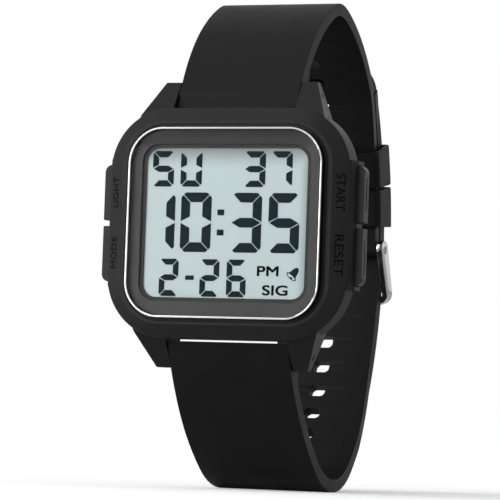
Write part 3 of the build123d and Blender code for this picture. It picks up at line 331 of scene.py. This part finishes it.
# Glass. A flat clear pane, held inside the ring in front of the dial plate. It is nearly
# all see-through here, with a faint grey veil, so that what lies behind it shows.
glass_veil = 0.05
finish, tree, shader = blank_finish("clear_glass")
haze = clouds(tree, own_place(tree), 12.0 * mm)
tree.links.new(two_shades(tree, haze, (0.030, 0.032, 0.033), (0.036, 0.038, 0.039)),
               shader.inputs["Base Color"])
tree.links.new(between(tree, haze, 0.02, 0.05), shader.inputs["Roughness"])
shader.inputs["Alpha"].default_value = glass_veil
dress("crystal", finish)

# Dial plate. A thin plate printed dark grey on its face, which hides the edges of the
# display and frames its window with a slightly darker step.
plate_print = moulded("plate_print", (0.050, 0.050, 0.050), (0.064, 0.064, 0.064),
                      (0.45, 0.60), 0.15 * mm, 0.003 * mm, 0.16)
dress("dial_mask", plate_print)
frame_resin = moulded("frame_resin", (0.020, 0.020, 0.020), (0.027, 0.027, 0.027),
                      (0.50, 0.65), 0.15 * mm, 0.004 * mm, 0.25)
dress("lcd_frame", frame_resin)

# Display. Glass with a polarising film in front and a reflector behind, which gives the
# pale grey green of a reflective display, with painted shade along its top and right edges.
# The characters are dark blue bars, with the words PM and SIG and a small bell.
film_pale = (0.515, 0.615, 0.625)
film_painted_shade = (0.230, 0.270, 0.280)
ink_deep = (0.004, 0.011, 0.018)
ink_pale = (0.006, 0.014, 0.022)
# Painted shade: the film is mixed towards a darker tone near its top and right edges.
shaded_edges = (("Z", 9.0 * mm, 13.4 * mm), ("X", 12.9 * mm, 15.6 * mm))
finish, tree, shader = blank_finish("display_film")
place = own_place(tree)
parts = tree.nodes.new("ShaderNodeSeparateXYZ")
tree.links.new(place, parts.inputs["Vector"])
shades = []
for side, start, end in shaded_edges:
    shade = tree.nodes.new("ShaderNodeMapRange")
    shade.interpolation_type = "SMOOTHSTEP"
    shade.inputs["From Min"].default_value = start
    shade.inputs["From Max"].default_value = end
    tree.links.new(parts.outputs[side], shade.inputs["Value"])
    shades.append(shade.outputs["Result"])
tint = tree.nodes.new("ShaderNodeMix")
tint.data_type = "RGBA"
tint.inputs["A"].default_value = (*film_pale, 1.0)
tint.inputs["B"].default_value = (*film_painted_shade, 1.0)
tree.links.new(worked(tree, "MAXIMUM", *shades), tint.inputs["Factor"])
tree.links.new(tint.outputs["Result"], shader.inputs["Base Color"])
grit = clouds(tree, place, 0.5 * mm, 2.0)
tree.links.new(between(tree, grit, 0.45, 0.60), shader.inputs["Roughness"])
skin_relief(tree, shader, grit, 0.001 * mm)
shader.inputs["Specular IOR Level"].default_value = 0.2
dress("lcd_polariser", finish)

display_ink = moulded("display_ink", ink_deep, ink_pale, (0.40, 0.50), 0.4 * mm, 0.001 * mm, 0.04)
dress("lcd_segments", display_ink)
ink_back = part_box("lcd_polariser")[0].y
ink_rise = 0.02 * mm
x_axis, z_axis = Vector((1.0, 0.0, 0.0)), Vector((0.0, 0.0, 1.0))
bold_step = 0.11
display_words = (("PM", 8.02, -8.14, 3.9, 1.7), ("SIG", 9.46, -11.37, 4.6, 1.75))
for text, across, up, length, height in display_words:
    for stroke, (aside, above) in enumerate(((-1, -1), (1, -1), (1, 1), (-1, 1))):
        place = Vector(((across + aside * bold_step / 2) * mm, ink_back - ink_rise,
                        (up + above * bold_step / 2) * mm))
        word = set_word(text.lower() + "_mark_" + str(stroke), text, display_ink, place,
                        x_axis, z_axis, (length - bold_step) * mm, (height - bold_step) * mm,
                        ink_rise)
        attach(word, "watch")

bell_middle = (12.7, -8.39)
bell_size = 2.5
bell_turn = math.radians(-40.0)
bell_body = ((-0.40, -0.26), (-0.30, -0.16), (-0.25, 0.02), (-0.21, 0.24), (-0.14, 0.40),
             (-0.05, 0.47), (0.05, 0.47), (0.14, 0.40), (0.21, 0.24), (0.25, 0.02),
             (0.30, -0.16), (0.40, -0.26))
bell_light = moulded("bell_light", film_pale, film_pale, (0.45, 0.60), 0.4 * mm, 0.001 * mm, 0.2)


def bell_sheet(name, outline, finish, lift):
    """A thin sheet in the shape of an outline that is drawn about the bell's middle."""
    sheet = bpy.data.meshes.new(name)
    form = bmesh.new()
    cosine, sine = math.cos(bell_turn), math.sin(bell_turn)
    corners = []
    for across, up in outline:
        x = (across * cosine - up * sine) * bell_size + bell_middle[0]
        z = (across * sine + up * cosine) * bell_size + bell_middle[1]
        corners.append(form.verts.new((x * mm, ink_back - lift, z * mm)))
    face = form.faces.new(corners)
    deep = bmesh.ops.extrude_face_region(form, geom=[face])
    for corner in [made for made in deep["geom"] if isinstance(made, bmesh.types.BMVert)]:
        corner.co.y += lift
    bmesh.ops.recalc_face_normals(form, faces=form.faces)
    form.to_mesh(sheet)
    form.free()
    made = bpy.data.objects.new(name, sheet)
    bpy.context.scene.collection.objects.link(made)
    made.data.materials.append(finish)
    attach(made, "watch")


def oval(wide, tall, middle_up, middle_across=0.0, corners=24):
    """Points of an oval as shares of the bell's size."""
    return [(middle_across + wide * math.cos(2 * math.pi * step / corners),
             middle_up + tall * math.sin(2 * math.pi * step / corners)) for step in range(corners)]


bell_sheet("bell_body", bell_body, display_ink, 0.03 * mm)
bell_sheet("bell_rim", oval(0.42, 0.17, -0.27), display_ink, 0.035 * mm)
bell_sheet("bell_mouth", oval(0.33, 0.10, -0.28), bell_light, 0.040 * mm)
bell_sheet("bell_clapper", oval(0.10, 0.08, -0.35, 0.06), display_ink, 0.045 * mm)

# Layers behind the display film. The liquid crystal glass, the reflector sheet and the
# panel that lights it are stacked in the frame and held by the module's deck.
stack_glass = moulded("stack_glass", (0.36, 0.42, 0.42), (0.42, 0.48, 0.48), (0.08, 0.16),
                      2.0 * mm, 0.001 * mm, 0.5)
reflector_sheet = bare_metal("reflector_sheet", (0.62, 0.64, 0.64), (0.74, 0.76, 0.76),
                             (0.35, 0.50), 1.0 * mm)
light_panel = moulded("light_panel", (0.40, 0.55, 0.50), (0.48, 0.63, 0.58), (0.40, 0.55),
                      0.4 * mm, 0.002 * mm, 0.4)
dress("lcd_glass", stack_glass)
dress("lcd_reflector", reflector_sheet)
dress("backlight_panel", light_panel)

# Module. A pale acetal frame rests on the case's ledge and holds the board. Two black and
# pink contact strips carry the signals from the board to the display glass.
module_resin = moulded("module_resin", (0.42, 0.41, 0.38), (0.50, 0.49, 0.46), (0.45, 0.55),
                       0.2 * mm, 0.006 * mm, 0.4)
dress("module_frame", module_resin)
finish, tree, shader = blank_finish("contact_strip")
lamella = tree.nodes.new("ShaderNodeTexWave")
lamella.inputs["Scale"].default_value = 1.0 / (0.35 * mm)
lamella.inputs["Distortion"].default_value = 0.4
tree.links.new(own_place(tree), lamella.inputs["Vector"])
tree.links.new(two_shades(tree, lamella.outputs["Fac"], (0.012, 0.012, 0.012), (0.42, 0.20, 0.20)),
               shader.inputs["Base Color"])
tree.links.new(between(tree, lamella.outputs["Fac"], 0.55, 0.70), shader.inputs["Roughness"])
dress("zebra_strips", finish)

# Circuit board. Thin glass fibre board under green solder resist, with copper runs that
# show as paler lines. The chip sits under a blob of black resin, and the timing crystal
# in a small nickel can beside it.
finish, tree, shader = blank_finish("board_green")
runs = tree.nodes.new("ShaderNodeTexVoronoi")
runs.feature = "DISTANCE_TO_EDGE"
runs.inputs["Scale"].default_value = 1.0 / (2.2 * mm)
tree.links.new(own_place(tree, (1.0, 1.0, 0.4)), runs.inputs["Vector"])
edge = tree.nodes.new("ShaderNodeMapRange")
edge.inputs["From Max"].default_value = 0.12
tree.links.new(runs.outputs["Distance"], edge.inputs["Value"])
tree.links.new(two_shades(tree, edge.outputs["Result"], (0.030, 0.150, 0.060),
                          (0.008, 0.070, 0.028)), shader.inputs["Base Color"])
tree.links.new(between(tree, edge.outputs["Result"], 0.28, 0.36), shader.inputs["Roughness"])
skin_relief(tree, shader, edge.outputs["Result"], -0.010 * mm)
dress("circuit_board", finish)
dress("main_chip", moulded("chip_blob", (0.006, 0.006, 0.006), (0.010, 0.010, 0.010), (0.22, 0.34),
                           0.8 * mm, 0.010 * mm, 0.5))
dress("quartz_crystal", bare_metal("can_nickel", (0.46, 0.45, 0.42), (0.60, 0.59, 0.56),
                                   (0.18, 0.28), 0.8 * mm, (0.2, 1.0, 1.0)))

# Coin cell and its strap. The cell's can is nickel plated steel with a turned face, and
# the strap and the leaf contacts are bent from tinned spring bronze.
dress("battery", bare_metal("cell_can", (0.50, 0.50, 0.50), (0.66, 0.66, 0.66), (0.20, 0.32),
                            0.25 * mm, (1.0, 1.0, 0.06)))
dress("battery_clip", bare_metal("strap_bronze", (0.52, 0.48, 0.40), (0.64, 0.60, 0.52),
                                 (0.25, 0.36), 0.5 * mm))
dress("switch_contacts", bare_metal("leaf_bronze", (0.58, 0.42, 0.22), (0.70, 0.54, 0.32),
                                    (0.22, 0.34), 0.4 * mm))

# Screws of the module and of the case. All are turned from steel and driven from behind.
# Two with one slot hold the board to the module, and four with crossed slots hold the back.
screw_steel = bare_metal("screw_steel", (0.30, 0.30, 0.31), (0.50, 0.50, 0.51), (0.22, 0.36),
                         0.25 * mm, (1.0, 1.0, 1.0), 0.002 * mm)
dress("module_screws", screw_steel)
dress("case_screws", screw_steel)

# Buzzer. A thin brass disc on the inside of the back, which sounds the alarm. A small
# coil spring from the board feeds it.
dress("piezo_buzzer", bare_metal("disc_brass", (0.52, 0.38, 0.15), (0.66, 0.50, 0.22),
                                 (0.22, 0.36), 1.2 * mm))
dress("buzzer_spring", spring_wire)

# Case back. A pressed stainless plate, brushed from side to side, with a chamfered edge
# and counterbores for its screws. It closes on a flat black rubber seal.
back_edge = 0.08 * mm
back_steel = bare_metal("back_steel", (0.37, 0.37, 0.38), (0.45, 0.45, 0.46), (0.27, 0.35),
                        0.10 * mm, (0.010, 1.0, 1.0), 0.0004 * mm)
dress("case_back", back_steel)
ease_edges("case_back", back_edge)
dress("case_back_seal", seal_rubber)

# Spring bars. A rolled stainless tube with a sprung pin at each end, which snaps into the
# lugs and holds each strap half.
bar_steel = bare_metal("bar_steel", (0.45, 0.45, 0.46), (0.62, 0.62, 0.63), (0.18, 0.30),
                       0.35 * mm, (0.2, 1.0, 1.0))
for half in ("upper", "lower"):
    for end, side in (("left", -1), ("right", 1)):
        coil_of(half + "_bar_coil_" + end, half + "_bar_spring",
                side)
    dress(half + "_bar_tube", bar_steel)
    dress(half + "_bar_pin_left", bar_steel)
    dress(half + "_bar_pin_right", bar_steel)
    dress(half + "_bar_spring", spring_wire)

# Strap halves and keepers. Moulded black rubber with a smooth matt skin and soft edges.
# The keepers are separate loops of the same rubber that hold the loose end down.
strap_edge = 0.32 * mm
keeper_edge = 0.08 * mm
strap_rubber = moulded("strap_rubber", (0.0035, 0.0035, 0.0036), (0.0050, 0.0050, 0.0051),
                       (0.46, 0.56), 0.12 * mm, 0.006 * mm, 0.10)
keeper_rubber = moulded("keeper_rubber", (0.0036, 0.0036, 0.0037), (0.0058, 0.0058, 0.0059),
                        (0.46, 0.56), 0.10 * mm, 0.006 * mm, 0.09)
for name in ("lower_strap", "upper_strap"):
    dress(name, strap_rubber)
    ease_edges(name, strap_edge, 3)
for name in ("fixed_keeper", "free_keeper"):
    dress(name, keeper_rubber)
    ease_edges(name, keeper_edge)

# Buckle. A cast frame and a bent tongue of stainless steel, both plated and polished
# bright, which turn on one steel bar through the end of the short strap half.
buckle_edge = 0.10 * mm
buckle_plating = bare_metal("buckle_plating", (0.40, 0.40, 0.41), (0.50, 0.50, 0.51),
                            (0.08, 0.16), 1.6 * mm, (1.0, 1.0, 0.25))
for name in ("buckle_frame", "buckle_tang"):
    dress(name, buckle_plating)
    ease_edges(name, buckle_edge)
dress("buckle_bar", bar_steel)

# Table and light. White paper in a bright room, with the strongest soft box in front at
# the left, a larger, weaker one above it and a faint one behind at the right. The paper
# glows for the camera, most of all far out, so that it reads white but keeps the shadow.
room_light = 0.42
floor_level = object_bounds()[0].z
floor_glow = (0.26, 0.70)
glow_reach = (0.05, 0.60)
finish, tree, shader = blank_finish("white_paper")
tree.nodes.remove(shader)
paper = tree.nodes.new("ShaderNodeBsdfDiffuse")
fibres = clouds(tree, own_place(tree), 40.0 * mm)
tree.links.new(two_shades(tree, fibres, (0.955, 0.955, 0.955), (0.965, 0.965, 0.965)),
               paper.inputs["Color"])
away = between(tree, length_of(tree, own_place(tree)), *floor_glow, *glow_reach)
ray = tree.nodes.new("ShaderNodeLightPath")
lit = worked(tree, "MULTIPLY", away, ray.outputs["Is Camera Ray"])
glow = tree.nodes.new("ShaderNodeEmission")
tree.links.new(lit, glow.inputs["Strength"])
both = tree.nodes.new("ShaderNodeAddShader")
tree.links.new(paper.outputs["BSDF"], both.inputs[0])
tree.links.new(glow.outputs["Emission"], both.inputs[1])
tree.links.new(both.outputs["Shader"], tree.nodes["Material Output"].inputs["Surface"])
sheet = bpy.data.meshes.new("paper")
form = bmesh.new()
paper_half = 6.0
form.faces.new([form.verts.new((x * paper_half, y * paper_half, floor_level))
                for x, y in ((-1, -1), (1, -1), (1, 1), (-1, 1))])
form.to_mesh(sheet)
form.free()
paper_sheet = bpy.data.objects.new("paper", sheet)
bpy.context.scene.collection.objects.link(paper_sheet)
paper_sheet.data.materials.append(finish)

room = bpy.data.worlds.new("room")
bpy.context.scene.world = room
room.use_nodes = True
tree = room.node_tree
walls = tree.nodes["Background"]
ray = tree.nodes.new("ShaderNodeLightPath")
seen = worked(tree, "MAXIMUM", ray.outputs["Is Camera Ray"], ray.outputs["Is Glossy Ray"])
mirrored = worked(tree, "MAXIMUM", seen, ray.outputs["Is Transmission Ray"])
level = between(tree, mirrored, room_light, 1.0, 0.0, 1.0)
tree.links.new(level, walls.inputs["Strength"])
walls.inputs["Color"].default_value = (1.0, 1.0, 1.0, 1.0)
light_aim = Vector((0.0, 0.02, 0.0))


def soft_box(name, place, size, power):
    """A square soft box that looks at the middle of the watch."""
    light = bpy.data.lights.new(name, "AREA")
    light.shape = "SQUARE"
    light.size = size
    light.energy = power
    box = bpy.data.objects.new(name, light)
    bpy.context.scene.collection.objects.link(box)
    box.location = place
    box.rotation_mode = "QUATERNION"
    box.rotation_quaternion = (light_aim - Vector(place)).to_track_quat("-Z", "Y")


soft_box("upper_box", (-0.25, -0.40, 0.60), 0.60, 1.5)
soft_box("left_box", (-0.45, -0.50, 0.10), 0.40, 4.0)
soft_box("right_box", (0.65, 0.25, 0.25), 0.30, 0.3)

# Camera. A long lens from slightly right of the face and a little below its middle, as
# in the photograph, and tipped by two degrees.
sideways, height, tip = math.radians(21.48), math.radians(-3.225), math.radians(2.051)
aim = Vector((0.000696, 0.0, -0.003895))
camera_distance = 0.551263
film_width = 36.0
lens_length = 230.4
towards = Vector((math.sin(sideways) * math.cos(height), -math.cos(sideways) * math.cos(height),
                  math.sin(height)))
level_right = Vector((math.cos(sideways), math.sin(sideways), 0.0))
level_up = towards.cross(level_right)
right = level_right * math.cos(tip) + level_up * math.sin(tip)
up = level_up * math.cos(tip) - level_right * math.sin(tip)
lens = bpy.data.cameras.new("camera")
lens.sensor_width = film_width
lens.lens = lens_length
camera = bpy.data.objects.new("camera", lens)
bpy.context.scene.collection.objects.link(camera)
camera.matrix_world = (Matrix.Translation(aim + towards * camera_distance)
                       @ Matrix((right, up, towards)).transposed().to_4x4())
bpy.context.scene.camera = camera
bpy.context.scene.view_settings.view_transform = "Standard"
